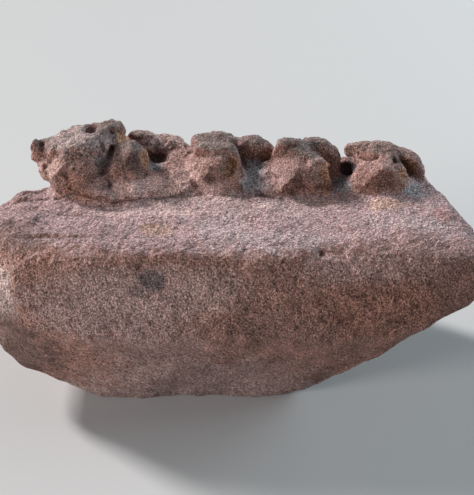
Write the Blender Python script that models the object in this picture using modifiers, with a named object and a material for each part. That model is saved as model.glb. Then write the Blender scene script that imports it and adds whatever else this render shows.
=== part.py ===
"""A fossil dinosaur track block: one loose block of red sandstone.

The lower part is a thick bed of sandstone whose underside rises like a hull towards both ends.
Along its upper back edge lies the track bed: a knobby ledge with a front row of blunt cones,
a back row of lumps, and hollows between them.  The whole is one piece of stone.

Sizes are real, in millimetres times MM.  X runs along the block, Y from its worn front face to
its broken back, and Z up.  The tables have their zero at the front shoulder of the block, on the
surface that it rests on; the finished stone has its origin at the middle of its base box.
"""
import bmesh
import bpy
from mathutils import Matrix, Vector, noise

MM = 0.001

STONE_COLOUR = (0.27, 0.17, 0.145, 1)
STONE_ROUGHNESS = 0.93

# The lower bed, one row for each cross-section along X: the height of its underside, the toe,
# belly and shoulder of its front face, its back face, and the height of its top.
SECTIONS = [
    # x, underside, toe, belly, shoulder, back, top
    (-144, 58, 22, 24, 30, 36, 88),
    (-140, 43, 8, 12, 27, 42, 95),
    (-132, 30, -6, 1, 20, 47, 99),
    (-122, 22.5, -8, -6, 13, 52, 101.5),
    (-112, 15, -9, -11, 8, 58, 103),
    (-100, 7.5, -10, -13, 5, 64, 103),
    (-88, 0, -10, -14, 2, 77, 103),
    (-78, -4, -11, -15, 1, 85, 103.5),
    (-70, -5, -11, -15, 0.5, 88, 104),
    (-35, -5, -11, -15, 1.5, 91, 104),
    (5, -4, -11, -15, -1, 92, 104),
    (20, -1, -11, -15, 0.5, 92, 104),
    (34, 2, -10, -15, 0.5, 92, 104),
    (48, 7, -10, -15, 2, 91, 103),
    (62, 16, -10, -14, 4, 90, 103),
    (78, 33, -10, -14, 5, 88, 103),
    (94, 48, -9, -12, 5, 85, 103),
    (106, 55, -8, -10, 4, 79, 102.5),
    (116, 61, -5, -7, 3, 58, 101),
    (126, 68, -1, -3, 5, 34, 98),
    (134, 75, 6, 5, 10, 24, 92),
]

# How a cross-section runs round, from the toe up the front, over the top and down the back.  A
# point lies a part of the way from one line to another in Y and up the section in Z, and is then
# moved by a few millimetres.
PROFILE = [
    # from, to, part, move in Y, part of the height, move in Z
    ("toe", "toe", 0, 1, 0, 0),
    ("toe", "toe", 0, -1, 0.06, 0),
    ("belly", "toe", 0.3, 0, 0.26, 0),
    ("belly", "belly", 0, 0, 0.55, 0),
    ("belly", "shoulder", 0.35, 0, 0.76, 0),
    ("shoulder", "shoulder", 0, -3, 0.89, 0),
    ("shoulder", "shoulder", 0, 1, 0.96, 0),
    ("shoulder", "back", 0.2, 0, 1, -1),
    ("shoulder", "back", 0.6, 0, 1, 0),
    ("back", "back", 0, -4, 1, 0),
    ("back", "back", 0, 0, 1, -5),
    ("back", "back", 0, 1, 0.5, 0),
    ("back", "back", 0, -2, 0.12, 4),
    ("back", "back", 0, -6, 0, 4),
    ("toe", "back", 0.4, 0, 0, 0),
    ("toe", "toe", 0, 5, 0, 0),
]
ROUNDING = 2

# The track bed.  Each crag is the hull of a few balls of stone, given as centre and radius.
CRAGS = {
    "lip 1": [(-98, 52, 105, 4), (-89, 47, 105, 3), (-98, 70, 105, 6), (-89, 57, 110, 5)],
    "lip 2": [(-89, 47, 105, 3), (-79, 43, 105.5, 2.6), (-89, 57, 110, 5), (-77, 58, 110, 5)],
    "lip 3": [(-79, 43, 105.5, 2.6), (-70, 40, 105.2, 2.4), (-77, 58, 109, 5), (-66, 59, 107, 5)],
    "lip 4": [(-70, 40, 105.2, 2.4), (-59, 42, 105, 2.4), (-66, 59, 107, 5), (-54, 61, 104.5, 5)],
    "lip 5": [(-59, 42, 105, 2.4), (-47, 46, 104, 2.4), (-54, 61, 104.5, 5), (-41, 62, 104, 5)],
    "lip 6": [(-47, 46, 104, 2.4), (-30, 50, 102.5, 2.4), (-41, 62, 104, 5), (-26, 62, 103.5, 5)],
    "lip 7": [(-30, 50, 102.5, 2.4), (-4, 50, 102, 2.4), (-26, 62, 103.5, 5), (4, 62, 103, 5)],
    "ledge floor left": [
        (-98, 72, 105, 6), (-66, 84, 106, 6), (-90, 60, 106, 6), (8, 62, 102, 5), (14, 84, 102, 5),
    ],
    "ledge floor right": [(34, 56, 100, 5), (98, 56, 101, 4), (34, 84, 99, 5), (92, 78, 99, 5)],
    "left rim": [(-122, 48, 99, 3), (-117, 50, 100, 3.3), (-110, 51, 99.5, 3)],
    "great lump": [
        (-70, 75, 126, 6), (-77, 76, 124, 6), (-88, 75, 124, 6), (-95, 73, 122.5, 6), (-101, 70, 120, 6),
        (-76, 65, 121, 6), (-87, 61, 122, 7), (-96, 61, 118, 7), (-99, 56, 107, 6), (-85, 54, 107, 6),
        (-72, 82, 110, 6), (-98, 76, 112, 6), (-78, 62, 108, 6),
    ],
    "great lump crown": [(-69, 76, 126, 7), (-74, 78, 124, 6)],
    "nose": [(-112, 67, 120.5, 3.5), (-112, 67, 116, 4), (-106, 70, 121, 4), (-104, 68, 115, 6)],
    "left boss": [(-106, 60, 111, 5), (-99, 60, 112, 6), (-103, 62, 104, 5), (-99, 56, 102, 4)],
    "cone A": [
        (-58, 66, 125, 2.6), (-64, 66, 121, 3.5), (-53, 66, 120.5, 3), (-67, 61, 117, 4), (-53, 61, 116, 4),
        (-66, 55, 112, 4), (-53, 56, 112, 4), (-60, 52, 109, 5), (-60, 74, 114, 4),
    ],
    "shelf left": [
        (-64.5, 86, 117, 2), (-59, 86, 118.6, 2), (-54, 87, 118.8, 2), (-50, 86, 118, 2), (-60, 80, 117, 2),
        (-50, 79, 117, 2),
    ],
    "shelf foot": [(-64, 86, 111, 4), (-49, 86, 111, 4), (-56, 81, 111, 4), (-62, 77, 110, 4)],
    "shelf right": [
        (-50, 86, 116.2, 2.5), (-43, 86, 116, 2.5), (-37, 85, 115.3, 2.5), (-33, 83, 114.4, 2.5),
        (-31, 80, 114.2, 2.4), (-51, 77, 114, 2), (-45, 76, 113, 2), (-40, 77, 114, 2), (-34, 79, 114, 2),
    ],
    "shelf right foot": [(-50, 86, 109, 4), (-30, 84, 109, 4), (-36, 78, 108, 4), (-50, 79, 106, 4)],
    "saddle": [
        (-37, 72, 110.5, 4), (-29, 73, 114, 4), (-40.5, 65, 106.5, 4), (-30, 64, 108.5, 4),
        (-43, 58, 103.5, 4), (-28, 56, 102.5, 4),
    ],
    "cone B": [
        (-21, 66, 121, 4), (-13, 65, 120, 5), (-4, 65, 120, 4.5), (-26, 60, 104.5, 5), (-14, 54, 104.5, 5.5),
        (-1, 56, 105, 6), (-14, 74, 110, 6),
    ],
    "lump B left": [
        (-21, 77, 118, 6), (-11, 77, 120, 6), (-5, 76, 118, 6), (-18, 78, 106, 6), (-2, 78, 106, 6),
    ],
    "lump B right": [
        (4, 75, 118, 6), (10, 74, 118, 6), (19, 74, 115.2, 2.7), (19, 73, 111.5, 2.7), (-2, 76, 110, 6),
        (9, 79, 113, 5),
    ],
    "cone C": [
        (35, 63, 120, 4), (27, 64, 117, 5), (45, 57, 116, 4.5), (17, 62, 106, 5), (13, 58, 101, 5),
        (27, 55, 103, 6), (35, 53, 104, 5), (47, 56, 105, 6), (36, 70, 112, 6),
    ],
    "boss C": [
        (25.5, 67, 123, 4), (30, 67, 123.3, 4), (33, 67, 123, 4), (23, 66, 118, 4), (27, 70, 111, 5),
        (40, 71, 118.5, 4),
    ],
    "lump C": [
        (40, 73, 119, 5.5), (48, 73, 119, 5.5), (53.3, 72, 117.6, 4), (55, 70, 113, 4.5), (54, 68, 105, 5.5),
        (40, 78, 106, 6),
    ],
    "cone D": [
        (73, 60, 112.3, 4), (82, 60, 112.5, 4.5), (89, 60, 110.5, 4), (66, 56, 107, 4.5), (69, 54, 104, 5),
        (80, 53, 104, 6), (90, 55, 104.5, 5), (80, 68, 106, 6),
    ],
    "ridge D": [(86, 66, 114, 3.5), (80, 62, 112.5, 4.5), (90, 60, 111, 3.5)],
    "lump D": [
        (63.8, 72, 116.4, 3.2), (70, 73, 117.3, 4.6), (78.5, 74, 116.6, 4.6), (86, 73, 116, 4.3),
        (75, 68, 115.5, 3.5),
    ],
    "shelf D": [(68, 66, 114.5, 2.6), (77, 66, 115, 2.6), (84, 66, 115, 2.6), (72, 73, 113, 4)],
    "stalk D": [(71, 78, 112, 3.5), (84, 74, 113, 4), (71, 80, 101, 4), (88, 74, 102, 5)],
    "wall D": [(57, 78, 104, 3.5), (70, 78, 105, 3.5), (57, 61, 102, 4), (70, 61, 102, 4)],
    "lump E": [
        (90, 73, 114, 3.2), (96, 73, 112.3, 3.5), (100, 71, 110.5, 3.5), (99, 68, 109.5, 3.5),
        (96, 76, 105, 5),
    ],
    "leg E": [(100.5, 69, 109, 3.5), (105, 65, 101, 4), (98, 74, 102, 5)],
}
CRAG_FINENESS = 2

# Hollows and pockets worn into the track bed: centre and half-sizes.
HOLLOWS = {
    "trench": ((-81, 71, 131), (4, 5, 6)),
    "nose pocket": ((-108.5, 65, 122.5), (1.8, 3, 3)),
    "cleft A": ((-70, 62, 120), (2.4, 9, 5)),
    "pocket A": ((-46, 73, 110.2), (5, 4, 2.6)),
    "shelf hole": ((-28, 74, 118), (2.2, 3, 3)),
    "recess B": ((16, 68, 105.5), (6, 5, 4)),
    "slot D": ((76, 64, 118.6), (7, 4, 1.3)),
    "recess E": ((92.5, 64, 111.5), (3, 5, 5)),
    "hole D": ((63, 68.5, 107), (4.8, 5.5, 8)),
}
HOLLOW_FINENESS = 3

# The open parting between the lower bed and the left end of the track bed: the line of its mouth,
# how far the cut starts in front of it and goes in behind it, how much it falls towards its back,
# and the half gap at the mouth and at the back.
PARTING_MOUTH = [(-94, 45, 103.5), (-80, 40, 103.5), (-70, 37, 103.5), (-58, 39, 103.5), (-46, 43, 103.5)]
PARTING_LEAD = 3
PARTING_DEPTH = 7
PARTING_FALL = 1.5
PARTING_HALF_GAPS = (0.9, 0.45)
PARTING_VOXEL = 0.55 * MM

# The swell and dip of the worn skin: the size of the lumps and their height.
LUMPINESS = [(42 * MM, 2.4 * MM), (15 * MM, 0.8 * MM)]

VOXEL = 1.3 * MM
SOFTENING = 4
TRIANGLES = 7200


def clear_scene():
    for thing in list(bpy.data.objects):
        bpy.data.objects.remove(thing)


def new_collection(name):
    made = bpy.data.collections.new(name)
    bpy.context.scene.collection.children.link(made)
    return made


def new_object(name, bm, home):
    mesh = bpy.data.meshes.new(name)
    bm.to_mesh(mesh)
    bm.free()
    made = bpy.data.objects.new(name, mesh)
    home.objects.link(made)
    return made


def settle(thing):
    """Replaces an object's mesh with the one its modifiers make."""
    graph = bpy.context.evaluated_depsgraph_get()
    mesh = bpy.data.meshes.new_from_object(thing.evaluated_get(graph))
    thing.modifiers.clear()
    thing.data = mesh


def section_ring(x, underside, toe, belly, shoulder, back, top):
    """The points of one cross-section of the lower bed."""
    lines = {"toe": toe, "belly": belly, "shoulder": shoulder, "back": back}
    ring = []
    for start, end, part, move_y, height, move_z in PROFILE:
        y = lines[start] + part * (lines[end] - lines[start]) + move_y
        z = underside + height * (top - underside) + move_z
        ring.append(Vector((x, y, z)) * MM)
    return ring


def make_lower_bed(home):
    """The thick lower bed, lofted through its cross-sections and rounded by subdivision."""
    bm = bmesh.new()
    rings = [[bm.verts.new(p) for p in section_ring(*row)] for row in SECTIONS]
    for near, far in zip(rings, rings[1:]):
        for i in range(len(near)):
            j = (i + 1) % len(near)
            bm.faces.new((near[i], near[j], far[j], far[i]))
    bm.faces.new(rings[0][::-1])
    bm.faces.new(rings[-1])
    bmesh.ops.recalc_face_normals(bm, faces=bm.faces)
    bed = new_object("lower_bed", bm, home)
    rounded = bed.modifiers.new("rounded", "SUBSURF")
    rounded.levels = rounded.render_levels = ROUNDING
    return bed


def add_ball(bm, centre, half_sizes, fineness):
    place = Matrix.Translation(Vector(centre) * MM)
    stretch = Matrix.Diagonal((*[s * MM for s in half_sizes], 1))
    bmesh.ops.create_icosphere(bm, subdivisions=fineness, radius=1, matrix=place @ stretch)


def shrink_to_hull(bm):
    hull = bmesh.ops.convex_hull(bm, input=bm.verts)
    inside = [v for v in hull["geom_interior"] if isinstance(v, bmesh.types.BMVert)]
    bmesh.ops.delete(bm, geom=inside, context="VERTS")


def make_crag(name, balls, home):
    """A crag of the track bed: the hull of its balls."""
    bm = bmesh.new()
    for x, y, z, r in balls:
        add_ball(bm, (x, y, z), (r, r, r), CRAG_FINENESS)
    shrink_to_hull(bm)
    return new_object(name, bm, home)


def mark_as_cutter(thing):
    thing.hide_render = True
    thing.display_type = "WIRE"
    return thing


def make_hollow(name, centre, half_sizes, home):
    bm = bmesh.new()
    add_ball(bm, centre, half_sizes, HOLLOW_FINENESS)
    return mark_as_cutter(new_object(name, bm, home))


def make_parting(home):
    """A thin wedge along the mouth of the parting, closing and falling towards the back."""
    wide, narrow = PARTING_HALF_GAPS
    lengths = []
    for ends in zip(PARTING_MOUTH, PARTING_MOUTH[1:]):
        bm = bmesh.new()
        for x, y, z in ends:
            add_ball(bm, (x, y - PARTING_LEAD, z), (wide, wide, wide), CRAG_FINENESS)
            add_ball(bm, (x, y + PARTING_DEPTH, z - PARTING_FALL), (wide, wide, narrow), CRAG_FINENESS)
        shrink_to_hull(bm)
        lengths.append(new_object("parting_length", bm, home))
    parting = join(lengths, "parting", home)
    fuse(parting, PARTING_VOXEL)
    return mark_as_cutter(parting)


def join(things, name, home):
    """One mesh object from several that overlap."""
    bm = bmesh.new()
    for thing in things:
        settle(thing)
        bm.from_mesh(thing.data)
        bpy.data.objects.remove(thing)
    return new_object(name, bm, home)


def fuse(thing, voxel):
    """Makes overlapping shapes one closed skin."""
    skin = thing.modifiers.new("fused", "REMESH")
    skin.mode = "VOXEL"
    skin.voxel_size = voxel
    settle(thing)


def carve(thing, cutters):
    for cutter in cutters:
        cut = thing.modifiers.new(cutter.name, "BOOLEAN")
        cut.operation = "DIFFERENCE"
        cut.solver = "EXACT"
        cut.object = cutter
    settle(thing)


def soften(thing, times):
    eased = thing.modifiers.new("eased", "SMOOTH")
    eased.iterations = times
    settle(thing)


def roughen(thing):
    """Swells and dents the skin with soft lumps of each size in LUMPINESS."""
    bm = bmesh.new()
    bm.from_mesh(thing.data)
    bm.normal_update()
    pushes = [sum(high * noise.noise(v.co / size) for size, high in LUMPINESS) * v.normal for v in bm.verts]
    for v, push in zip(bm.verts, pushes):
        v.co += push
    bm.to_mesh(thing.data)
    bm.free()


def thin_out(thing, triangles):
    bm = bmesh.new()
    bm.from_mesh(thing.data)
    bmesh.ops.triangulate(bm, faces=bm.faces)
    now = len(bm.faces)
    bm.to_mesh(thing.data)
    bm.free()
    fewer = thing.modifiers.new("fewer", "DECIMATE")
    fewer.ratio = triangles / now
    settle(thing)


def finish(thing):
    """Flattens the underside where the block rests and moves the origin under the block's middle."""
    bm = bmesh.new()
    bm.from_mesh(thing.data)
    parts = [*bm.verts, *bm.edges, *bm.faces]
    cut = bmesh.ops.bisect_plane(bm, geom=parts, plane_no=(0, 0, 1), clear_inner=True)
    rim = [e for e in cut["geom_cut"] if isinstance(e, bmesh.types.BMEdge)]
    bmesh.ops.contextual_create(bm, geom=rim)
    bmesh.ops.triangulate(bm, faces=bm.faces)
    bmesh.ops.recalc_face_normals(bm, faces=bm.faces)
    low = Vector([min(v.co[i] for v in bm.verts) for i in range(3)])
    high = Vector([max(v.co[i] for v in bm.verts) for i in range(3)])
    middle = (low + high) / 2
    bmesh.ops.translate(bm, vec=(-middle.x, -middle.y, -low.z), verts=bm.verts)
    bm.to_mesh(thing.data)
    bm.free()


def paint(thing):
    stone = bpy.data.materials.new("red_sandstone")
    stone.use_nodes = True
    surface = stone.node_tree.nodes["Principled BSDF"]
    surface.inputs["Base Color"].default_value = STONE_COLOUR
    surface.inputs["Roughness"].default_value = STONE_ROUGHNESS
    thing.data.materials.clear()
    thing.data.materials.append(stone)


def main():
    clear_scene()
    model = new_collection("track_block")
    cutters = new_collection("cutters")
    pieces = [make_lower_bed(model)]
    pieces += [make_crag(name, balls, model) for name, balls in CRAGS.items()]
    stone = join(pieces, "track_block", model)
    fuse(stone, VOXEL)
    carve(stone, [make_hollow(name, *row, cutters) for name, row in HOLLOWS.items()])
    fuse(stone, VOXEL)
    soften(stone, SOFTENING)
    roughen(stone)
    carve(stone, [make_parting(cutters)])
    thin_out(stone, TRIANGLES)
    finish(stone)
    paint(stone)


main()
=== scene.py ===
"""A fossil dinosaur track block, finished: one loose block of red sandstone on a plain floor."""
import math

import bmesh
import bpy
import numpy as np
from mathutils import Matrix, Vector, noise


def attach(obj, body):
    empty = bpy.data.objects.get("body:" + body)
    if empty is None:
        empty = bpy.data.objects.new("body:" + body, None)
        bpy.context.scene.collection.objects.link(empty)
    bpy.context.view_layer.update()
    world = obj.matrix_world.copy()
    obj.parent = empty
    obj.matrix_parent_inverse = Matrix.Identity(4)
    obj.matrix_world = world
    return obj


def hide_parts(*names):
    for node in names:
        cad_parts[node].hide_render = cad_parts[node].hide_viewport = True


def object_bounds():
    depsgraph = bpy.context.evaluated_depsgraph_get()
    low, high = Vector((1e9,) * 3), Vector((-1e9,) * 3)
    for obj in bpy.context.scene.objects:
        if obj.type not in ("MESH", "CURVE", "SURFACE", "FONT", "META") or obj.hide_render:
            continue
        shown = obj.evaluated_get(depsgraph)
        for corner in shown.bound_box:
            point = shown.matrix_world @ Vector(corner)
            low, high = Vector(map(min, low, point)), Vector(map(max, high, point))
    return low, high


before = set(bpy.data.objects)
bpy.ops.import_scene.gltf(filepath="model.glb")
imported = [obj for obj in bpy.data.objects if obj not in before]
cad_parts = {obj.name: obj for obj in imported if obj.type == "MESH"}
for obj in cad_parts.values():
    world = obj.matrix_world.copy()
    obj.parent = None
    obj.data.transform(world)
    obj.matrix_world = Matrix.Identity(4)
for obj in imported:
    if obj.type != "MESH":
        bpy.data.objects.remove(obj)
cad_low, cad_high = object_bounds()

# The block of stone.
# One loose block of red sandstone, taken as it lies: a thick bed with a worn shoulder, and on its
# back edge the knobby bed that holds the track.  It is one piece and rests on its own underside.
MM = 0.001
JOINED_WITHIN = 0.01 * MM
SKIN_VOXEL = 0.8 * MM
BALL_FINENESS = 2

# Thin laminae, rims and small knobs of the track bed, each the hull of a few balls of stone, given
# in millimetres as centre and radius.
FINE_CRAGS = {
    "upper lamina": [
        (-57.5, 48.2, 118.3, 1), (-54.6, 49.2, 118.9, 1), (-49.7, 49.2, 119.3, 1),
        (-46, 49.2, 118.3, 1), (-43.5, 47.2, 117.9, 1), (-56.6, 43.2, 120.9, 1),
        (-50.8, 42.2, 121.2, 1), (-44.1, 43.2, 119.6, 1),
    ],
    "lower lamina": [
        (-57.5, 43.2, 120.3, 1), (-51.6, 41.2, 120.3, 1), (-57.7, 47.2, 117.9, 1),
        (-51.7, 47.2, 117.2, 1),
    ],
    "shelf rim left": [
        (-49.1, 38.2, 115.4, 1.1), (-46.4, 37.2, 113, 1.1), (-41.9, 36.7, 110.9, 1.1),
    ],
    "shelf rim middle": [(-38.4, 38.2, 113.4, 1.1), (-34.4, 38.7, 113.7, 1.1)],
    "shelf rim right": [
        (-34.4, 38.7, 113.7, 1.1), (-30.7, 40.2, 114.6, 1.1), (-27, 41.2, 115, 1.1),
    ],
    "shelf top edge": [
        (-39.1, 49.2, 116.7, 1.2), (-33.8, 48.2, 116, 1.2), (-30.2, 47.2, 115.9, 1.2),
        (-27.5, 45.2, 115.4, 1.2), (-34.4, 41.2, 116.8, 1.2),
    ],
    "end of fourth lump": [
        (66.8, 33.2, 116.8, 2.6), (66.9, 32.2, 115.1, 2.2), (71.5, 34.2, 116.5, 4),
        (69.8, 35.2, 118.2, 1.6),
    ],
    "knob on fourth lump": [(74, 37.2, 118.3, 1.6), (75.7, 37.2, 118, 1.6), (74.3, 37.2, 116, 2)],
    "back slab": [
        (-119.8, 7.2, 101.2, 1.5), (-115.7, 9.2, 102.1, 1.5), (-107.8, 10.2, 101.4, 1.5),
        (-107.6, 6.2, 100.5, 1.4), (-117.4, 5.2, 99.9, 1.4),
    ],
    "edge of third cone upper": [(43.7, 23.2, 120.7, 1.3), (48.2, 22.2, 118.8, 1.3)],
    "edge of third cone lower": [
        (48.2, 22.2, 118.8, 1.3), (51.5, 21.2, 116.8, 1.3), (55.1, 21.2, 114.2, 1.3),
    ],
    "edge of fourth cone": [
        (97.7, 23.2, 109.6, 1.3), (93.2, 24.2, 114.9, 1.3), (89.4, 26.2, 116.6, 1.3),
    ],
    "rim of great lump": [
        (-91.8, 29.2, 127.3, 1.6), (-84.8, 28.2, 128.2, 1.6), (-76.7, 28.2, 127.3, 1.6),
        (-67.2, 30.2, 126.7, 1.6),
    ],
    "crown left": [(-80.2, 37.2, 129.3, 2.2), (-74.2, 38.2, 129.3, 2.2)],
    "crown right": [
        (-70, 37.2, 130.2, 2.4), (-61.7, 38.2, 130.6, 2.2), (-60.3, 34.2, 128.8, 2.4),
        (-67.3, 33.2, 129.4, 2.4),
    ],
    "top of nose": [(-107.9, 29.2, 123.5, 2), (-109.6, 29.2, 120.2, 2.2)],
    "roof of last lump": [
        (94.6, 35.2, 114.9, 1.5), (102.9, 35.2, 112.6, 1.8), (106.5, 34.2, 110.5, 1.8),
    ],
    "leg of last lump": [
        (103.7, 34.2, 110.5, 2.2), (107.4, 32.2, 106.4, 2.2), (111.9, 29.2, 100.1, 2.2),
    ],
    "lip": [
        (-53.3, 5.6, 106.8, 1.5), (-53, 4.5, 104.6, 1.5), (-41, 7.5, 104, 1.5),
        (-24.2, 12, 102.7, 1.5), (-53.8, 11, 109.8, 1.5), (-50, 15.5, 111, 1.5),
        (-46.4, 17.7, 110.8, 1.5), (-30.1, 19.7, 109.5, 1.5), (-19.8, 15.7, 106.8, 1.5),
        (-20, 20.5, 108.5, 1.5),
    ],
    "saddle right of great lump": [
        (-69, 19, 114, 2), (-60, 20, 114.5, 2), (-67, 27, 117, 2), (-59, 26, 118, 2),
        (-66, 12, 109, 2), (-60, 12, 109, 2),
    ],
}


def welded(node):
    """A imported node's mesh with its split corners joined again."""
    bm = bmesh.new()
    bm.from_mesh(node.data)
    bmesh.ops.remove_doubles(bm, verts=bm.verts, dist=JOINED_WITHIN)
    return bm


def hull_of_balls(balls):
    bm = bmesh.new()
    for x, y, z, r in balls:
        place = Matrix.Translation(Vector((x, y, z)) * MM)
        bmesh.ops.create_icosphere(bm, subdivisions=BALL_FINENESS, radius=r * MM, matrix=place)
    hull = bmesh.ops.convex_hull(bm, input=bm.verts)
    inside = [v for v in hull["geom_interior"] if isinstance(v, bmesh.types.BMVert)]
    bmesh.ops.delete(bm, geom=inside, context="VERTS")
    return bm


def add_to(whole, part):
    carrier = bpy.data.meshes.new("carrier")
    part.to_mesh(carrier)
    part.free()
    whole.from_mesh(carrier)
    bpy.data.meshes.remove(carrier)


def object_from(bm, name):
    mesh = bpy.data.meshes.new(name)
    bm.to_mesh(mesh)
    bm.free()
    made = bpy.data.objects.new(name, mesh)
    bpy.context.scene.collection.objects.link(made)
    return made


def settle(thing):
    """Replaces an object's mesh with the one its modifiers make."""
    graph = bpy.context.evaluated_depsgraph_get()
    mesh = bpy.data.meshes.new_from_object(thing.evaluated_get(graph))
    thing.modifiers.clear()
    thing.data = mesh


def fuse(thing, voxel):
    skin = thing.modifiers.new("fused", "REMESH")
    skin.mode = "VOXEL"
    skin.voxel_size = voxel
    settle(thing)


rough_block = welded(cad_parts["track_block"])
for balls in FINE_CRAGS.values():
    add_to(rough_block, hull_of_balls(balls))
stone = object_from(rough_block, "track_block_stone")
fuse(stone, SKIN_VOXEL)


# The easing of the skin.
# The lower bed is worn smooth and even, most of all along its shoulder.  The track bed keeps its
# edges, and so do the middle of the shoulder and the right tip.
BED_EASING = 12
SHOULDER_EASING = 160
TRACK_EASING = 2
EASING_STEP = 0.5
CRISPNESS = 0.97

# Where each part of the skin begins or ends, as the two places between which it comes or goes: up
# the block, from front to back, and along it.
TRACK_BED_FROM = (104 * MM, 108 * MM)
SHOULDER_FROM = (70 * MM, 84 * MM)
SHOULDER_BACK_TO = (-14 * MM, -2 * MM)
CRISP_FROM = (-62 * MM, -34 * MM)
CRISP_TO = (34 * MM, 52 * MM)
TIP_FROM = (108 * MM, 124 * MM)


def values_of(items, key, width):
    flat = np.empty(len(items) * width)
    items.foreach_get(key, flat)
    return flat.reshape(-1, width) if width > 1 else flat


def points_of(mesh):
    return values_of(mesh.vertices, "co", 3)


def normals_of(mesh):
    return values_of(mesh.vertex_normals, "vector", 3)


def lay_back(mesh, points):
    mesh.vertices.foreach_set("co", np.ascontiguousarray(points).ravel())
    mesh.update()


def ramp(values, start, end):
    part = np.clip((values - start) / (end - start), 0, 1)
    return part * part * (3 - 2 * part)


def track_bed_share(points):
    """1 on the track bed, 0 on the lower bed."""
    return ramp(points[:, 2], *TRACK_BED_FROM)


def eased(points, edges, weight, times):
    """Moves each point towards the middle of its neighbours, as far as its weight says."""
    ends = edges.ravel()
    others = edges[:, ::-1].ravel()
    count = np.bincount(ends, minlength=len(points))[:, None]
    for _ in range(times):
        sums = np.stack([np.bincount(ends, points[others, i], len(points)) for i in range(3)], 1)
        points = points + EASING_STEP * weight[:, None] * (sums / count - points)
    return points


skin = points_of(stone.data)
edges = values_of(stone.data.edges, "vertices", 2).astype(int)
on_track_bed = track_bed_share(skin)
skin = eased(skin, edges, np.ones(len(skin)), TRACK_EASING)
skin = eased(skin, edges, 1 - on_track_bed, BED_EASING)
on_shoulder = ramp(skin[:, 2], *SHOULDER_FROM) * (1 - ramp(skin[:, 1], *SHOULDER_BACK_TO))
crisp = ramp(skin[:, 0], *CRISP_FROM) * (1 - ramp(skin[:, 0], *CRISP_TO))
tip = ramp(skin[:, 0], *TIP_FROM)
skin = eased(skin, edges, on_shoulder * (1 - CRISPNESS * crisp) * (1 - tip), SHOULDER_EASING)
lay_back(stone.data, skin)
as_found = skin


# The faces of the cones.
# Each cone has a broad face to its left and a steep one to its right that meet in a blunt ridge,
# and the lip below them slopes gently to the parting.
FACES = {
    # middle in millimetres, which way the face looks, reach
    "left of great lump": ((-94.2, 15.1, 117.2), (-0.6, -0.4, 0.7), 10),
    "front of great lump": ((-79.4, 13.8, 120.0), (0, -0.72, 0.69), 11),
    "right of great lump": ((-60.2, 32.2, 124.6), (0.85, -0.3, 0.43), 6),
    "left of first cone": ((-57.3, 20.8, 122.6), (-0.45, -0.45, 0.77), 8),
    "right of first cone": ((-47.8, 21.3, 119.7), (0.7, -0.5, 0.5), 7),
    "left of second cone": ((-17.2, 19.6, 114.3), (-0.45, -0.45, 0.77), 11),
    "right of second cone": ((-1.7, 17.5, 114.4), (0.6, -0.68, 0.42), 9),
    "left of third cone": ((28.6, 17.0, 112.7), (-0.45, -0.45, 0.77), 15),
    "right of third cone": ((48.2, 14.3, 112.6), (0.4, -0.82, 0.4), 10),
    "left of fourth cone": ((72.7, 16.1, 111.3), (-0.45, -0.5, 0.74), 8),
    "front of fourth cone": ((84.8, 12.4, 111.2), (0.15, -0.87, 0.47), 9),
    "lip left": ((-58.1, 7.8, 109.8), (-0.15, -0.45, 0.88), 10),
    "lip middle": ((-43.5, 12.0, 110.2), (0.05, -0.45, 0.89), 9),
    "lip right": ((-28, 13.9, 108.6), (0, -0.45, 0.89), 10),
    "lip far right": ((-7.2, 10.0, 106.3), (-0.15, -0.45, 0.88), 9),
    "lip of third cone": ((22.7, 13.8, 105.0), (-0.3, -0.4, 0.87), 9),
}

WHOLLY_FLAT = 0.6


def pressed_flat(points, middle, towards, reach):
    """Moves the points near a face's middle on to its plane."""
    normal = np.array(Vector(towards).normalized())
    offset = points - np.array(middle) * MM
    gap = np.linalg.norm(offset, axis=1)
    share = 1 - ramp(gap, WHOLLY_FLAT * reach * MM, reach * MM)
    return points - (share * (offset @ normal))[:, None] * normal


for middle, towards, reach in FACES.values():
    skin = pressed_flat(skin, middle, towards, reach)
lay_back(stone.data, skin)


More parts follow.
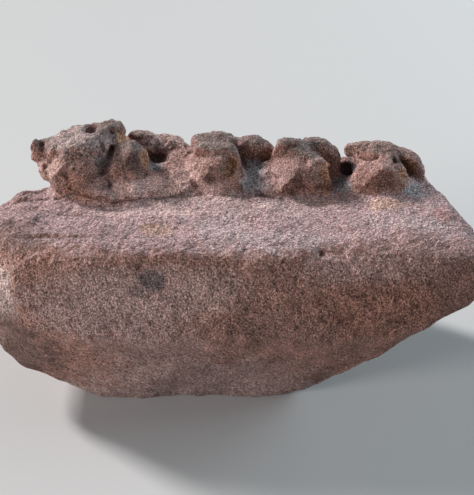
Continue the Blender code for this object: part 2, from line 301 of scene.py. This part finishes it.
# The partings and cracks.
# The track bed parts from the lower bed along an open crack on the left that closes to a crease on
# the right; thin laminae end in small steps on the left shoulder and low on the front face.
# Along every line the colour is also darkened towards near black, as painted shade in the cracks
# and steps.
SEAMS = {
    # line in millimetres, half-width, depth, how dark its painted shade is
    "parting": (
        [
            (-95.7, 6.4, 103.1), (-85.8, 5.6, 105.2), (-75.2, 0.9, 105.5), (-65.7, -2.7, 104.4),
            (-55.2, -0.4, 104.5), (-49.4, 1, 104.3), (-41.6, 3.8, 104.3), (-29.3, 7.1, 103.9),
        ],
        0.9, 1.5, 1,
    ),
    "crease": (
        [
            (-29.3, 7.1, 103.9), (-14.1, 8.9, 104), (0.3, 6, 104.7), (19.5, 8.6, 103.6),
            (38.8, 9.9, 103.3),
        ],
        1.2, 0.7, 0.35,
    ),
    "upper parting": ([(-88, 8, 107.6), (-78, 2.2, 106.9), (-71.2, -0.4, 106.4)], 0.8, 1, 0.9),
    "foot of slab": (
        [(-118, 5, 101.8), (-115.2, 5.5, 102.3), (-106.9, 6, 102.7), (-99.7, 7.4, 103.1)],
        0.8, 0.8, 0.7,
    ),
    "left step front": (
        [(-114.2, -23.9, 100.2), (-94.6, -25, 101.7), (-71.3, -25.6, 102.2)],
        1.2, 0.8, 0.3,
    ),
    "left step middle": (
        [(-117.4, -14.2, 101.8), (-105, -12.3, 103), (-92.8, -15.5, 102.8)],
        1.1, 0.8, 0.35,
    ),
    "left step back": (
        [(-117.1, -2.5, 102.2), (-107.2, -2.8, 103.1), (-90.4, -6.6, 102.6), (-76.8, -7.9, 102.9)],
        1.1, 0.7, 0.35,
    ),
    "front lamina middle": (
        [(0.4, -53.1, 58.6), (15.2, -52.5, 54.7), (29.4, -53.1, 53.1), (42.9, -53.4, 49.5)],
        0.9, 0.6, 0.4,
    ),
    "front lamina left": (
        [(-125.2, -39.8, 50.5), (-106.7, -48.1, 51.5), (-91.2, -50.1, 45.8)],
        1, 0.6, 0.4,
    ),
    "front lamina low": (
        [(-58.7, -53.3, 43.8), (-32, -54, 40.6), (-5.1, -53.4, 40.8)],
        1, 0.4, 0.3,
    ),
    "front lamina low left": (
        [(-127.8, -41.8, 36.6), (-104.4, -49.1, 34.1), (-76.9, -51.8, 30.6)],
        1, 0.5, 0.3,
    ),
    "front lamina right": (
        [(57.6, -51.2, 64.8), (78.1, -50.5, 67.1), (98.3, -48.7, 72.5)],
        1, 0.5, 0.3,
    ),
    "short crack": ([(64.4, -47.1, 78.2), (70.9, -46.9, 79.4)], 0.8, 0.8, 0.8),
    "slit in third lump": (
        [(30.5, 24, 122.2), (33.2, 24.7, 123.7), (36.5, 25.5, 124.4)],
        0.9, 1.4, 0.9,
    ),
    "slit in fourth lump": (
        [(72.7, 26.4, 116.2), (77.3, 23.4, 116.1), (82.3, 24.5, 117.3)],
        0.9, 1.2, 0.9,
    ),
}
SEAM_WANDER = 0.5 * MM
SEAM_WANDER_SIZE = 5 * MM
DARK_LINE_WIDTH = 0.8


def distance_to_line(points, line):
    """How far each point is from a line through a few corners."""
    corners = np.array(line) * MM
    nearest = np.full(len(points), np.inf)
    for start, end in zip(corners, corners[1:]):
        along = end - start
        part = np.clip((points - start) @ along / (along @ along), 0, 1)
        gap = np.linalg.norm(points - start - part[:, None] * along, axis=1)
        nearest = np.minimum(nearest, gap)
    return nearest


def bell(distance, reach):
    return np.exp(-(distance / reach) ** 2)


def wandered(points):
    """The points pushed about a little, so that lines drawn by distance to them run unevenly."""
    moves = [noise.noise_vector(p) for p in points / SEAM_WANDER_SIZE]
    return points + SEAM_WANDER * np.array(moves)


def seam_depth(points):
    places = wandered(points)
    depth = np.zeros(len(points))
    for line, half_width, deep, _ in SEAMS.values():
        near = bell(distance_to_line(places, line), half_width * MM)
        depth = np.maximum(depth, deep * near)
    return depth * MM


# Painted shade along the cracks and steps: how dark each point is painted.
def seam_painted_shade(points):
    places = wandered(points)
    darkness = np.zeros(len(points))
    for line, half_width, _, dark in SEAMS.values():
        near = bell(distance_to_line(places, line), DARK_LINE_WIDTH * half_width * MM)
        darkness = np.maximum(darkness, dark * near)
    return darkness


# The pits.
# Small holes and shallow dents where softer stone has weathered out.
PITS = {
    # middle in millimetres, radius, depth
    "shoulder pit": ((47.6, -35.2, 98.2), 1.8, 2),
    "front dent": ((-39, -44, 86.4), 7, 1.2),
    "nose pocket": ((-103.9, 28.8, 123.4), 1.6, 2.2),
    "nose pit": ((-101.8, 18.6, 115.3), 1.3, 1.5),
    "trench": ((-77.8, 34.9, 127.4), 2.2, 2),
    "hollow behind first cone": ((-42.1, 36.5, 109), 3.0, 1.2),
    "saddle hole": ((-26, 36, 118), 2, 1.5),
    "last recess": ((92.2, 23.2, 116.2), 2, 2),
    "low pit": ((24, -52, 27), 1.2, 0.8),
}


def pit_depth(points):
    depth = np.zeros(len(points))
    for middle, radius, deep in PITS.values():
        gap = np.linalg.norm(points - np.array(middle) * MM, axis=1)
        depth = np.maximum(depth, deep * MM * bell(gap, radius * MM))
    return depth


# The worn skin.
# Weather has left the sandstone rough at every size, from broad swells on the lower bed down to
# crumbs of a few grains.  The great lump is the roughest, and the low front and the hidden back the
# smoothest.
BEDDING_TILT = 0.3

# Which way a side looks, as an axis and its sign, and how far its skin must turn that way to count.
FORWARDS = (1, -1)
BACKWARDS = (1, 1)
DOWNWARDS = (2, -1)
FRONT_TURN = (0.3, 0.8)
BACK_TURN = (0.2, 0.6)
UNDERSIDE_TURN = (0.3, 0.7)

LOW_FRONT_TO = (38 * MM, 58 * MM)
GREAT_LUMP_TO = (-66 * MM, -58 * MM)
LIP_FROM = (103 * MM, 104.5 * MM)
LIP_BACK_TO = (11 * MM, 16 * MM)

# Each kind of roughness: its sizes along X, Y and Z, or the one size of its knobs, and how high it
# stands, all in millimetres.  The swells as a whole are sunk a little.
SWELL_SIZES = (45, 45, 30)
SWELL_HEIGHT = 1.4
SWELL_SINK = 1
BUMP_SIZES = (11, 11, 11)
BUMP_HEIGHT = 0.9
BUMPS_LESS_ON_TRACK_BED = 0.5
BUMPS_LESS_LOW_ON_FRONT = 0.3
BUMPS_LESS_ON_LIP = 0.2
BUMPS_MORE_ON_GREAT_LUMP = 0.4
CLUMP_SIZES = (4, 4, 4)
CLUMP_HEIGHT = 0.45
CRUMB_SIZES = (1.9, 1.9, 1.9)
CRUMB_HEIGHT = 0.5
LOW_FRONT_SMOOTHNESS = 0.55
LAMINA_SIZES = (14, 14, 2.2)
LAMINAE_LOW_ON_FRONT = 0.7
LAMINAE_ON_TRACK_BED = 0.2
LARGE_KNOB = 8
LARGE_KNOB_HEIGHT = 1.8
SMALL_KNOB = 3.6
SMALL_KNOB_HEIGHT = 0.9
HOLE_SIZES = (4.2, 4.2, 4.2)
HOLE_FROM = (0.25, 0.6)
HOLE_DEPTH = 0.9


def lumps(points, sizes, octaves=1):
    """Soft noise whose lumps have the given size along X, Y and Z."""
    return np.array([noise.fractal(p, 1.0, 2.0, octaves) for p in points / (np.array(sizes) * MM)])


def knobs(points, size):
    """Round knobs of about the given size that meet in creases."""
    return np.array([0.5 - noise.voronoi(p)[0][0] for p in points / (size * MM)])


def faces_towards(normals, way, turn):
    axis, sign = way
    return ramp(sign * normals[:, axis], *turn)


def low_part(points, on_front):
    return on_front * (1 - ramp(points[:, 2], *LOW_FRONT_TO))


GRAIN_RUNS = {
    # which way the weathered grain runs, and the share of each distance kept that way
    "top": ((0.80, 0.60, 0), 0.58),
    "front": ((-0.25, 0, 0.97), 0.78),
    "low": ((-0.85, 0, 0.52), 0.55),
}


def streaked(points, run):
    """The points squeezed along the run of the grain, so that noise read there is drawn out."""
    direction, kept = run
    along = np.array(Vector(direction).normalized())
    return points - (1 - kept) * (points @ along)[:, None] * along


def grain_runs(points, on_front, low_on_front):
    """For each run of the grain, the points squeezed along it and how much of it there is."""
    shares = {"top": 1 - on_front, "front": on_front - low_on_front, "low": low_on_front}
    return {side: (streaked(points, run), shares[side]) for side, run in GRAIN_RUNS.items()}


def note_on_skin(name, kind, values):
    """Keeps a value for every point of the stone's skin under a name."""
    key = {"FLOAT": "value", "FLOAT_VECTOR": "vector", "FLOAT_COLOR": "color"}[kind]
    made = stone.data.attributes.new(name, kind, "POINT")
    made.data.foreach_set(key, np.ascontiguousarray(values).ravel())


out = normals_of(stone.data)
on_track_bed = track_bed_share(skin)
on_lower_bed = 1 - on_track_bed
on_front = faces_towards(out, FORWARDS, FRONT_TURN) * on_lower_bed
low_on_front = low_part(skin, on_front)
hidden = np.maximum(
    faces_towards(out, BACKWARDS, BACK_TURN), faces_towards(out, DOWNWARDS, UNDERSIDE_TURN)
)
weathered = 1 - hidden * on_lower_bed
on_great_lump = on_track_bed * (1 - ramp(skin[:, 0], *GREAT_LUMP_TO))
on_lip = ramp(skin[:, 2], *LIP_FROM) * (1 - ramp(skin[:, 1], *LIP_BACK_TO))

swells = SWELL_HEIGHT * lumps(skin, SWELL_SIZES, 2) - SWELL_SINK
push = on_lower_bed * weathered * swells
bump_height = (
    BUMP_HEIGHT
    - BUMPS_LESS_ON_TRACK_BED * on_track_bed
    - BUMPS_LESS_LOW_ON_FRONT * low_on_front
    - BUMPS_LESS_ON_LIP * on_lip
    + BUMPS_MORE_ON_GREAT_LUMP * on_great_lump
)
push += lumps(skin, BUMP_SIZES, 2) * bump_height
crumbly = 1 - LOW_FRONT_SMOOTHNESS * low_on_front
for run, share in grain_runs(skin, on_front, low_on_front).values():
    crumbs = lumps(run, CLUMP_SIZES, 2) * CLUMP_HEIGHT + lumps(run, CRUMB_SIZES, 2) * CRUMB_HEIGHT
    push += share * weathered * crumbly * crumbs
tilted = skin.copy()
tilted[:, 2] += BEDDING_TILT * skin[:, 0]
lamina_height = LAMINAE_LOW_ON_FRONT * low_on_front + LAMINAE_ON_TRACK_BED * on_track_bed
push += lumps(tilted, LAMINA_SIZES, 2) * lamina_height
large_knobs = knobs(skin, LARGE_KNOB) * LARGE_KNOB_HEIGHT
small_knobs = knobs(skin, SMALL_KNOB) * SMALL_KNOB_HEIGHT
push += (large_knobs + small_knobs) * on_great_lump
push -= ramp(lumps(skin, HOLE_SIZES), *HOLE_FROM) * HOLE_DEPTH * on_great_lump
push = push * MM - seam_depth(as_found) - pit_depth(as_found)
skin = skin + out * push[:, None]
skin = np.clip(skin, np.array(cad_low), np.array(cad_high))
lay_back(stone.data, skin)
note_on_skin("as_found", "FLOAT_VECTOR", as_found)

# Where the skin is plainest it needs fewer triangles.
STONE_TRIANGLES = 194000
fewer = stone.modifiers.new("fewer", "DECIMATE")
fewer.ratio = STONE_TRIANGLES / (2 * len(stone.data.polygons))
settle(stone)
stone.data.shade_smooth()


# The stains and the painted light.
# Iron and clay have tinted the red stone: mauve on the worn top, rust and ochre in hollows, blue
# grey silt between the cones, and a dark skin on the crests.  Some patches are painted light and
# shade instead: lighter on the left sides, the lip and the bed before it where light falls, and low
# on the front where the floor throws light up; darker in cast shadows, under the left end, on the
# cones' fronts, in recesses and cracks; and the orange brown of the right flanks is partly painted
# warm shade.
MAUVE = (0.325, 0.217, 0.217)
RED_BROWN = (0.31, 0.172, 0.142)
DEEP_RED = (0.27, 0.135, 0.103)
CHARCOAL = (0.16, 0.13, 0.12)
ORANGE_BROWN = (0.33, 0.165, 0.095)
BLUE_GREY = (0.21, 0.20, 0.21)
OCHRE = (0.36, 0.215, 0.13)
RUST = (0.30, 0.14, 0.09)
PALE_SILT = (0.42, 0.395, 0.41)
BLOOM = (0.385, 0.30, 0.30)
PINK = (0.36, 0.19, 0.18)
NEAR_BLACK = (0.045, 0.03, 0.028)

STAINS_AND_PAINTED_LIGHT = {
    # middle in millimetres, half-sizes, colour, strength
    # Painted light: the left front is made paler where light from the left grazes it.
    "pale left front": ((-62, -48, 72), (50, 16, 26), (0.40, 0.27, 0.25), 0.85),
    # Painted light: paler low on the front, for light thrown up from the floor.
    "pale low front": ((-38, -52, 42), (34, 10, 22), (0.345, 0.235, 0.22), 0.6),
    "pale middle front": ((-28, -48, 84), (42, 10, 18), (0.42, 0.28, 0.255), 0.75),
    # Painted light: the left end is made paler where it catches the light from the left.
    "pale left end": ((-122, -38, 72), (13, 16, 20), (0.44, 0.345, 0.325), 0.7),
    # Painted light: the edge of the sole is made paler for light thrown up from the floor.
    "pale sole edge": ((-30, -46, 6), (78, 14, 13), (0.50, 0.365, 0.345), 0.7),
    # Painted light: the front below the right shoulder is made paler, as if the shoulder were
    # rounder.
    "pale right shoulder": ((74, -42, 94), (44, 12, 12), (0.41, 0.27, 0.25), 0.75),
    # Painted light: the foot is made paler and cooler for light thrown up from the floor.
    "pale foot": ((-15, -50, 12), (75, 14, 28), (0.38, 0.265, 0.245), 0.75),
    "dark front spot": ((-39, -44, 86.4), (8, 8, 6.5), (0.11, 0.09, 0.095), 0.85),
    "second front spot": ((-47, -45, 81), (5, 6, 4), (0.15, 0.115, 0.11), 0.6),
    # Painted shade: the underside turning down beneath the left end is made dark.
    "dark left foot": ((-124, -42, 36), (38, 20, 28), (0.165, 0.105, 0.092), 0.88),
    "dark right end": ((112, -34, 82), (34, 26, 22), (0.235, 0.13, 0.11), 0.75),
    # Painted shadow that the great lump casts on the first cone.
    "painted shadow on first cone": ((-53, 17, 119), (10, 9, 6.5), (0.12, 0.073, 0.065), 0.9),
    "dark fourth lump": ((84, 30, 117), (20, 8, 5), (0.23, 0.15, 0.13), 0.6),
    "lower right": ((80, -50, 70), (45, 14, 22), DEEP_RED, 0.8),
    "dark right of middle": ((30, -52, 60), (26, 8, 17), (0.22, 0.125, 0.105), 0.75),
    "top ochre": ((-38, -20, 102.2), (9, 6, 3), OCHRE, 0.4),
    "ochre at third cone": ((44, 4, 102), (16, 5, 3), OCHRE, 0.45),
    "ochre at fourth cone": ((84, 0, 104), (14, 5, 3), OCHRE, 0.45),
    "bloom left": ((-3.7, -17.7, 102.5), (14, 14, 4), BLOOM, 0.5),
    "bloom middle": ((26, -27.6, 101.8), (32, 8, 5), BLOOM, 0.5),
    "bloom right": ((95, -14, 102), (28, 9, 5), (0.36, 0.265, 0.265), 0.6),
    # Painted shade: the top along the right shoulder is made darker, as if it rolled away from the
    # light.
    "dark right top edge": ((102, -35, 100), (36, 10, 6), (0.22, 0.14, 0.13), 0.6),
    "pink patch": ((115, -6.4, 102.5), (8, 7, 5), PINK, 0.7),
    "rust at left corner": ((-117, -26, 98), (5, 6, 5), RUST, 0.4),
    "rust on left shoulder": ((-92, -34, 97.8), (9, 6, 5), RUST, 0.3),
    "dark left top": ((-116, -24, 100), (20, 19, 8), (0.18, 0.115, 0.105), 0.8),
    # Orange brown on the shaded right flank: partly the stone's colour, partly painted warm shade.
    "flank of great lump": ((-60, 32.4, 123), (4, 6, 7), ORANGE_BROWN, 0.9),
    # Dark grey in the saddle right of the great lump.
    "dark grey beside great lump": ((-68.5, 19.4, 116.7), (4.5, 5, 6), (0.15, 0.13, 0.13), 0.8),
    "foot of great lump": ((-80, 9, 108), (12, 5, 3.5), (0.22, 0.115, 0.085), 0.8),
    "parting lamina": ((-82, 2, 105.6), (11, 5, 1.6), (0.30, 0.14, 0.08), 0.8),
    # Painted light on the left face of the great lump, which faces the light.
    "left of great lump": ((-98, 15, 113), (8, 8, 12), (0.38, 0.25, 0.22), 0.7),
    # Painted light: the lip is made much paler where the cones and the great lump cast shadow.
    "lip": ((-36, 10, 107), (38, 12, 6), (0.62, 0.405, 0.37), 0.95),
    # Partly the bed's own paler colour, partly painted light where the ledge's shadow falls.
    "bed before the lip": ((0, 0, 103), (74, 10, 4), (0.41, 0.285, 0.275), 0.85),
    # Painted light where the ledge's shadow falls on the bed before the left lip.
    "bed before the left lip": ((-40, -3, 103), (34, 8, 4), (0.54, 0.375, 0.36), 0.85),
    "floor of trench": ((-77.8, 35.5, 126), (3, 3, 2.5), ORANGE_BROWN, 0.9),
    # Orange brown on the shaded right flank: partly the stone's colour, partly painted warm shade.
    "flank of first cone": ((-46.5, 21, 118), (3.5, 6, 7), ORANGE_BROWN, 0.8),
    "shade behind first cone": ((-42, 37, 109), (5.5, 4, 3.5), (0.15, 0.11, 0.10), 0.85),
    "silt behind first cone": ((-43, 27, 109.5), (6, 5, 3), PALE_SILT, 0.9),
    # Painted light on the left face of the second cone, which faces the light.
    "left of second cone": ((-24, 19, 111), (9, 7, 6), (0.35, 0.225, 0.205), 0.8),
    # Painted shade on the front of the second cone, which faces away from the light.
    "front of second cone": ((-9, 16, 111), (9, 6, 7), (0.24, 0.145, 0.125), 0.75),
    # Orange brown on the shaded right flank: partly the stone's colour, partly painted warm shade.
    "flank of second cone": ((1, 18, 113), (4.5, 7, 10), ORANGE_BROWN, 0.9),
    # Pale blue grey silt, painted lighter still where the lumps' shadow falls on it.
    "silt by second cone": ((14, 22, 107), (10, 13, 6), (0.70, 0.66, 0.69), 0.95),
    "end of second lump": ((21, 32, 114), (5, 8, 6), (0.20, 0.09, 0.055), 0.8),
    # Painted light on the left face of the third cone, which faces the light.
    "left of third cone": ((26, 17, 111), (11, 9, 8), (0.36, 0.23, 0.22), 0.8),
    # Painted shade on the front of the third cone, which faces away from the light.
    "front of third cone": ((38, 16, 110), (8, 7, 8), (0.25, 0.15, 0.135), 0.6),
    # Orange brown on the shaded right flank: partly the stone's colour, partly painted warm shade.
    "flank of third cone": ((54.5, 17, 110), (5, 8, 11), ORANGE_BROWN, 0.9),
    "silt by third cone": ((63, 17, 104), (6.5, 8, 4), BLUE_GREY, 0.9),
    "shade of the gap": ((67, 31, 106), (6.5, 8, 8), (0.05, 0.04, 0.045), 0.95),
    "shelf behind first cone": ((-40, 42, 117), (18, 9, 5), (0.37, 0.25, 0.23), 0.7),
    "top of great lump": ((-84, 28, 127), (22, 13, 6), (0.36, 0.27, 0.26), 0.7),
    "shelf of fourth lump": ((79, 26, 116.5), (10, 5, 2.5), (0.34, 0.165, 0.13), 0.7),
    # Painted shade on the front of the fourth cone, which faces away from the light.
    "front of fourth cone": ((83, 13, 109), (12, 7, 7), (0.19, 0.095, 0.075), 0.85),
    # Orange brown on the shaded right flank: partly the stone's colour, partly painted warm shade.
    "flank of fourth cone": ((94.5, 17, 109), (4, 6, 6), ORANGE_BROWN, 0.8),
    "silt by fourth cone": ((101.5, 13, 103.5), (7.5, 7, 3), (0.31, 0.29, 0.30), 0.8),
    "leg of last lump": ((101, 27, 109), (5.5, 6, 6), (0.18, 0.085, 0.045), 0.9),
    # Painted shade: the last recess is made near black.
    "last recess": ((92.5, 24, 114.5), (3.5, 5, 5), (0.06, 0.04, 0.035), 0.95),
}
RAGGED_SIZES = (5, 5, 5)
PATCH_RAGGEDNESS = 0.35
PATCH_FADE = (0.55, 1.15)
BLOTCH_SIZES = (14, 14, 9)
BLOTCH_STRENGTH = 0.22
SEAM_STRENGTH = 0.85

# The front is red brown, the track bed partly so, and the rest of the lower bed wherever it doesn't
# turn upwards enough to be worn.
RED_FRONT_TURN = (0.25, 0.75)
TRACK_BED_REDNESS = 0.55
WORN_TURN = (-0.1, 0.35)

# The dark skin of the crests: how high it begins, and how far the skin must turn upwards.
CREST_FROM = (117 * MM, 124 * MM)
CREST_WANDER = 3 * MM
CREST_TURN = (0.1, 0.7)
CREST_STRENGTH = 0.75

# How much more the grains show on the front than elsewhere, and how much less low down.
GRIT_MORE_ON_FRONT = 0.15
GRIT_LESS_LOW_ON_FRONT = 0.4


def mixed(colours, mask, colour):
    return colours + mask[:, None] * (np.array(colour) - colours)


def patch_mask(points, raggedness, middle, half_sizes):
    offset = (points - np.array(middle) * MM) / (np.array(half_sizes) * MM)
    return 1 - ramp(np.linalg.norm(offset, axis=1) + raggedness, *PATCH_FADE)


skin = points_of(stone.data)
out = normals_of(stone.data)
as_found = values_of(stone.data.attributes["as_found"].data, "vector", 3)
stone.data.attributes.remove(stone.data.attributes["as_found"])
on_track_bed = track_bed_share(skin)
on_front = faces_towards(out, FORWARDS, RED_FRONT_TURN)
low_on_front = low_part(skin, on_front)
unworn = (1 - ramp(out[:, 2], *WORN_TURN)) * (1 - on_track_bed)
raggedness = PATCH_RAGGEDNESS * lumps(skin, RAGGED_SIZES, 2)
blotches = lumps(skin, BLOTCH_SIZES, 2)

colours = np.tile(np.array(MAUVE), (len(skin), 1))
redness = np.maximum.reduce([on_front, TRACK_BED_REDNESS * on_track_bed, unworn])
colours = mixed(colours, redness, RED_BROWN)
crests = ramp(skin[:, 2] + CREST_WANDER * blotches, *CREST_FROM) * ramp(out[:, 2], *CREST_TURN)
colours = mixed(colours, CREST_STRENGTH * crests, CHARCOAL)
# Each patch lays a stain, or painted light or shade, over the colours.
for middle, half_sizes, colour, strength in STAINS_AND_PAINTED_LIGHT.values():
    mask = patch_mask(as_found, raggedness, middle, half_sizes)
    colours = mixed(colours, strength * mask, colour)
colours *= 1 + BLOTCH_STRENGTH * blotches[:, None]
# The cracks and steps get their painted shade.
colours = mixed(colours, SEAM_STRENGTH * seam_painted_shade(as_found), NEAR_BLACK)
note_on_skin("tint", "FLOAT_COLOR", np.column_stack([colours, np.ones(len(skin))]))

for side, (run, share) in grain_runs(skin, on_front, low_on_front).items():
    note_on_skin("grain_place_" + side, "FLOAT_VECTOR", run)
    note_on_skin("grain_share_" + side, "FLOAT", share)
grit = 1 + GRIT_MORE_ON_FRONT * on_front - GRIT_LESS_LOW_ON_FRONT * low_on_front
note_on_skin("grit", "FLOAT", grit)


# The stone itself.
# Sandstone of fine quartz grains stained red by iron, matte, with pale and dark grains side by
# side.  The grains stand out a little from the skin.
STONE_ROUGHNESS = 0.95
STONE_GLOSS = 0.25
GRAIN = 0.9 * MM
FINE_GRAIN = 0.42 * MM
RELIEF_GRAIN = 1.0 * MM
RELIEF_DEPTH = 1.3 * MM

# How much darker or lighter than the stone its grains are, from dark to light.
GRAIN_SHADES = [(0.34, (0.55, 0.50, 0.48)), (0.5, (1, 1, 1)), (0.66, (1.5, 1.53, 1.53))]
FINE_SHADES = [(0.36, (0.55, 0.52, 0.51)), (0.5, (1, 1, 1)), (0.64, (1.75, 1.8, 1.82))]


def red_sandstone():
    made = bpy.data.materials.new("red_sandstone")
    made.use_nodes = True
    nodes = made.node_tree.nodes
    links = made.node_tree.links
    surface = nodes["Principled BSDF"]
    surface.inputs["Roughness"].default_value = STONE_ROUGHNESS
    surface.inputs["Specular IOR Level"].default_value = STONE_GLOSS

    def from_skin(name, output):
        reader = nodes.new("ShaderNodeAttribute")
        reader.attribute_name = name
        return reader.outputs[output]

    def reckoned(kind, first, second):
        sums = nodes.new("ShaderNodeMath")
        sums.operation = kind
        links.new(first, sums.inputs[0])
        links.new(second, sums.inputs[1])
        return sums.outputs["Value"]

    def speckle(size, detail, label, roughness=0.5):
        """Noise drawn out along the run of the grain on each side of the stone."""
        total = None
        for side in GRAIN_RUNS:
            made_noise = nodes.new("ShaderNodeTexNoise")
            made_noise.label = label + " on " + side
            made_noise.inputs["Scale"].default_value = 1 / size
            made_noise.inputs["Detail"].default_value = detail
            made_noise.inputs["Roughness"].default_value = roughness
            links.new(from_skin("grain_place_" + side, "Vector"), made_noise.inputs["Vector"])
            share = from_skin("grain_share_" + side, "Fac")
            part = reckoned("MULTIPLY", made_noise.outputs["Fac"], share)
            total = part if total is None else reckoned("ADD", total, part)
        return total

    def shade_of(factor, stops):
        band = nodes.new("ShaderNodeValToRGB")
        band.color_ramp.elements.remove(band.color_ramp.elements[1])
        band.color_ramp.elements[0].position = stops[0][0]
        band.color_ramp.elements[0].color = (*stops[0][1], 1)
        for at, colour in stops[1:]:
            band.color_ramp.elements.new(at).color = (*colour, 1)
        links.new(factor, band.inputs["Fac"])
        return band.outputs["Color"]

    def shaded(colour, shade):
        """The colour darkened or lightened by its grains, as strongly as the grit there says."""
        mix = nodes.new("ShaderNodeMix")
        mix.data_type = "RGBA"
        mix.blend_type = "MULTIPLY"
        mix.clamp_result = False
        mix.clamp_factor = False
        links.new(from_skin("grit", "Fac"), mix.inputs["Factor"])
        links.new(colour, mix.inputs["A"])
        links.new(shade, mix.inputs["B"])
        return mix.outputs["Result"]

    colour = from_skin("tint", "Color")
    colour = shaded(colour, shade_of(speckle(GRAIN, 2, "grains"), GRAIN_SHADES))
    colour = shaded(colour, shade_of(speckle(FINE_GRAIN, 1, "fine grains"), FINE_SHADES))
    links.new(colour, surface.inputs["Base Color"])
    relief = nodes.new("ShaderNodeBump")
    relief.inputs["Strength"].default_value = 1.0
    relief.inputs["Distance"].default_value = RELIEF_DEPTH
    standing_out = speckle(RELIEF_GRAIN, 3, "grains standing out", 0.65)
    links.new(standing_out, relief.inputs["Height"])
    links.new(relief.outputs["Normal"], surface.inputs["Normal"])
    return made


stone.data.materials.clear()
stone.data.materials.append(red_sandstone())
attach(stone, "root")
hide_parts("track_block")

# The floor.
# A plain pale tabletop with a matte finish, wide enough to fill every view.
FLOOR_SIZE = 6.0
FLOOR_COLOUR = (0.48, 0.473, 0.476, 1)
FLOOR_ROUGHNESS = 0.9
FLOOR_GLOSS = 0.0


def pale_floor():
    half = FLOOR_SIZE / 2
    corners = [(-half, -half, 0), (half, -half, 0), (half, half, 0), (-half, half, 0)]
    mesh = bpy.data.meshes.new("floor")
    mesh.from_pydata(corners, [], [(0, 1, 2, 3)])
    made = bpy.data.objects.new("floor", mesh)
    bpy.context.scene.collection.objects.link(made)
    paint = bpy.data.materials.new("pale_floor")
    paint.use_nodes = True
    surface = paint.node_tree.nodes["Principled BSDF"]
    surface.inputs["Base Color"].default_value = FLOOR_COLOUR
    surface.inputs["Roughness"].default_value = FLOOR_ROUGHNESS
    surface.inputs["Specular IOR Level"].default_value = FLOOR_GLOSS
    mesh.materials.append(paint)
    return made


pale_floor()

# The light.
# A far, strong soft box behind the block to its left casts the shadow.  A weak bluish one stands at
# its right and a weak warm one at its left front, and the room gives an even glow.
STONE_MIDDLE = Vector((0, 0, 60)) * MM
LAMPS = {
    # direction from the stone, distance and size in metres, power in watts, colour
    "window": ((-0.6947, 0.4864, 0.5299), 10.0, (1.2, 2.0), 1500, (1.0, 0.985, 0.965)),
    "second_window": ((1, 0.35, 0.4), 2.0, (1.0, 1.0), 36, (0.76, 0.93, 1.0)),
    "side_fill": ((-1, -0.4, 0.35), 1.6, (0.5, 0.5), 16, (1.0, 0.95, 0.92)),
}
ROOM_COLOUR = (0.86, 0.94, 1.0, 1)
ROOM_GLOW = 0.12


def soft_box(name, towards, distance, size, power, colour):
    lamp = bpy.data.lights.new(name, "AREA")
    lamp.shape = "RECTANGLE"
    lamp.size, lamp.size_y = size
    lamp.energy = power
    lamp.color = colour
    made = bpy.data.objects.new(name, lamp)
    bpy.context.scene.collection.objects.link(made)
    line = Vector(towards).normalized()
    made.location = STONE_MIDDLE + line * distance
    made.rotation_mode = "QUATERNION"
    made.rotation_quaternion = (-line).to_track_quat("-Z", "Y")


for name, (towards, distance, size, power, colour) in LAMPS.items():
    soft_box(name, towards, distance, size, power, colour)
room = bpy.data.worlds.new("room")
room.use_nodes = True
glow = room.node_tree.nodes["Background"]
glow.inputs["Color"].default_value = ROOM_COLOUR
glow.inputs["Strength"].default_value = ROOM_GLOW
bpy.context.scene.world = room
bpy.context.scene.view_settings.view_transform = "Standard"

# The camera.
# It looks down on the block from the front at 40 degrees, so close that both ends run out of its
# view.
CAMERA_PLACE = Vector((4.08, -296.83, 321.42)) * MM
CAMERA_FALL = math.radians(40)
CAMERA_LENS = 49.45


def camera():
    lens = bpy.data.cameras.new("camera")
    lens.lens = CAMERA_LENS
    made = bpy.data.objects.new("camera", lens)
    bpy.context.scene.collection.objects.link(made)
    made.location = CAMERA_PLACE
    made.rotation_euler = (math.radians(90) - CAMERA_FALL, 0, 0)
    return made


bpy.context.scene.camera = camera()
